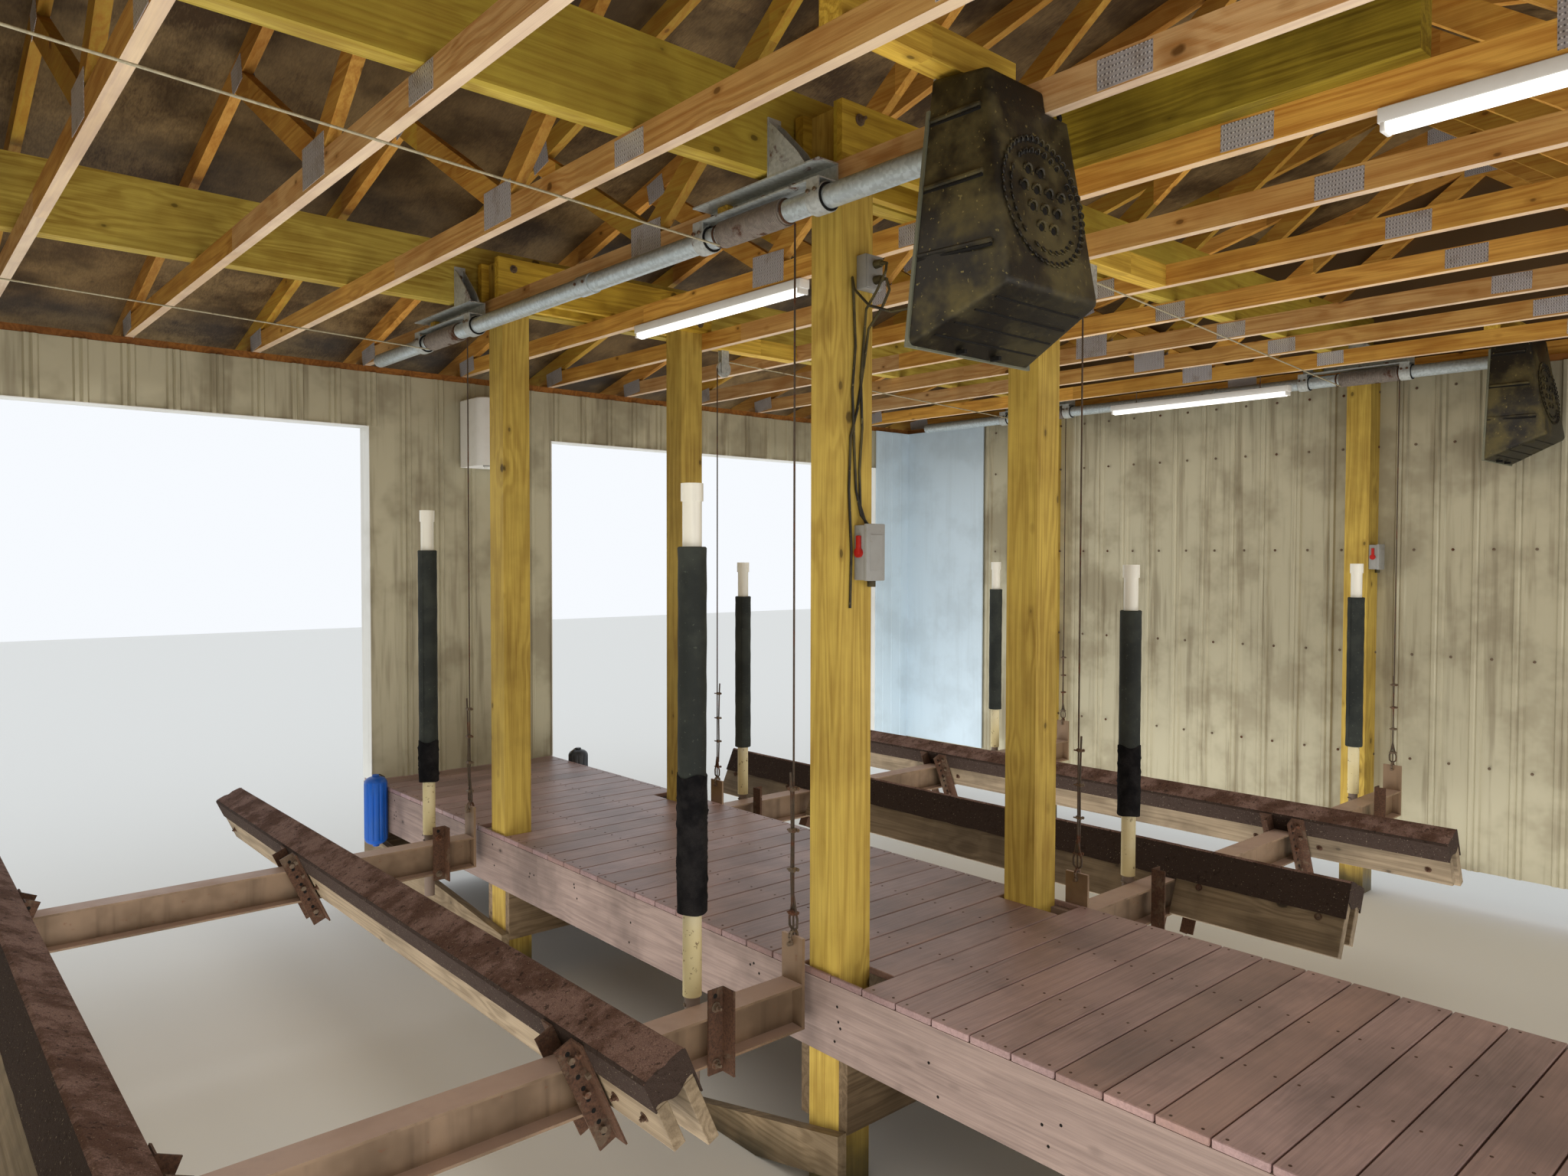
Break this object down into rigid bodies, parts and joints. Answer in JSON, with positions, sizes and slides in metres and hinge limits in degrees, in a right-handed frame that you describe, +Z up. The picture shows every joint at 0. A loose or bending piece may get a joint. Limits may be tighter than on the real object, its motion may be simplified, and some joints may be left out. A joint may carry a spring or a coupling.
{
  "type": "boathouse",
  "caption": "Timber boathouse on piles with a centre dock between open boat slips, a trussed ribbed-metal roof and overhead cable lifts with carpeted cradles.",
  "frame": {"origin": "centre of the plan at the feet of the piles, at the water line", "axes": "+Y along the slips and the dock, from the open front towards the land side; +Z up; +X across the slips, to the right of someone walking in from the back"},
  "size_m": [8.974, 9.8112, 4.5238],
  "materials": {
    "sawn_timber": "sawn",
    "beam_timber": "sawn",
    "weathered_timber": "weathered",
    "deck_boards": "matt",
    "ribbed_sheet": "satin",
    "white_trim": "satin",
    "white_panel": "painted",
    "roof_board": "matt",
    "grey_box": "matt",
    "fender_plastic": "matt",
    "galvanised_steel": "galvanised",
    "wire_rope": "dull",
    "black_cover": "matt",
    "rusty_steel": "rusty",
    "guide_plastic": "satin",
    "black_foam": "matt",
    "bunk_carpet": "matt"
  },
  "bodies": {
    "building": {"dock_posts": "sawn_timber", "front_piles": "weathered_timber", "dock_beams": "weathered_timber", "dock_rim": "weathered_timber", "dock_joists": "weathered_timber", "dock_braces": "weathered_timber", "dock_deck": "deck_boards", "platform_frame": "weathered_timber", "platform_deck": "deck_boards", "outer_piles": "weathered_timber", "wall_posts": "sawn_timber", "wall_sills": "weathered_timber", "front_wall": "sawn_timber", "left_wall": "sawn_timber", "right_wall": "sawn_timber", "back_wall": "sawn_timber", "outer_siding": "ribbed_sheet", "wall_lining": "ribbed_sheet", "opening_trim": "white_trim", "corner_panels": "white_panel", "top_plates": "sawn_timber", "truss_ties": "sawn_timber", "truss_rafters": "sawn_timber", "truss_webs": "sawn_timber", "gable_siding": "ribbed_sheet", "roof_boarding": "roof_board", "roof_sheets": "ribbed_sheet", "ridge_cap": "ribbed_sheet", "eave_boards": "white_trim", "header_beams": "sawn_timber", "side_planks": "sawn_timber", "lift_beams": "beam_timber", "lift_blocking": "beam_timber", "strip_lights": "white_trim", "water_heater": "white_trim", "switch_boxes": "grey_box", "dock_fenders": "fender_plastic", "pipe_hangers": "galvanised_steel", "cable_pulleys": "galvanised_steel", "cross_cables": "wire_rope", "motor_covers": "black_cover"},
    "left_pipe": {"left_drive_pipe": "galvanised_steel"},
    "right_pipe": {"right_drive_pipe": "galvanised_steel"},
    "left_cradle": {"left_drop_cables": "wire_rope", "left_cradle_beams": "rusty_steel", "left_guide_posts": "guide_plastic", "left_guide_foam": "black_foam", "left_bunk_brackets": "galvanised_steel", "left_bunks": "bunk_carpet"},
    "right_cradle": {"right_drop_cables": "wire_rope", "right_cradle_beams": "rusty_steel", "right_guide_posts": "guide_plastic", "right_guide_foam": "black_foam", "right_bunk_brackets": "galvanised_steel", "right_bunks": "bunk_carpet"}
  },
  "joints": [
    {"name": "left_lift", "type": "slide", "parent": "building", "child": "left_cradle", "axis": [0, 0, 1], "range_m": [-1.35, 0.75], "deforming": ["left_drop_cables"]},
    {"name": "left_pipe_turn", "type": "hinge", "parent": "building", "child": "left_pipe", "pos_m": [0.6985, 0, 3.188], "axis": [0, 1, 0], "range_deg": [-1850, 1050]},
    {"name": "right_lift", "type": "slide", "parent": "building", "child": "right_cradle", "axis": [0, 0, 1], "range_m": [-1.35, 0.75], "deforming": ["right_drop_cables"]},
    {"name": "right_pipe_turn", "type": "hinge", "parent": "building", "child": "right_pipe", "pos_m": [-3.9665, 0, 3.188], "axis": [0, 1, 0], "range_deg": [-1850, 1050]}
  ],
  "couplings": [
    {"joint": "left_pipe_turn", "follows": "left_lift", "rad_per_m": 23.529},
    {"joint": "right_pipe_turn", "follows": "right_lift", "rad_per_m": 23.529}
  ]
}
